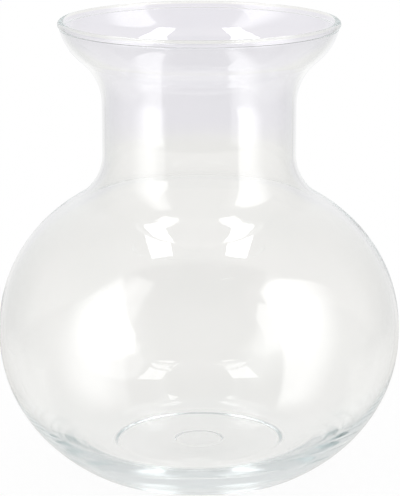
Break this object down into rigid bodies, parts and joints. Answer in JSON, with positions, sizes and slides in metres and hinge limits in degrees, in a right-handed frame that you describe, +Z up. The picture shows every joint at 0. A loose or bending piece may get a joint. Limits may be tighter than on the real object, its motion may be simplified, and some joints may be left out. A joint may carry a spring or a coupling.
{
  "type": "round glass vase",
  "caption": "Clear glass vase with a full round belly on a thick foot, a straight neck and a flared mouth with a rounded rim. It holds water and cut flowers.",
  "frame": {"origin": "centre of the flat ring that the vase stands on", "axes": "+Z up along the vase's axis; -Y towards the viewer of the picture, +X to the viewer's right"},
  "size_m": [0.2, 0.2, 0.2247],
  "materials": {
    "clear_glass": "clear, smooth and fire polished, with a faint grey-green tint where the glass is thick"
  },
  "bodies": {
    "root": {"vase_glass": "clear_glass"}
  },
  "joints": []
}
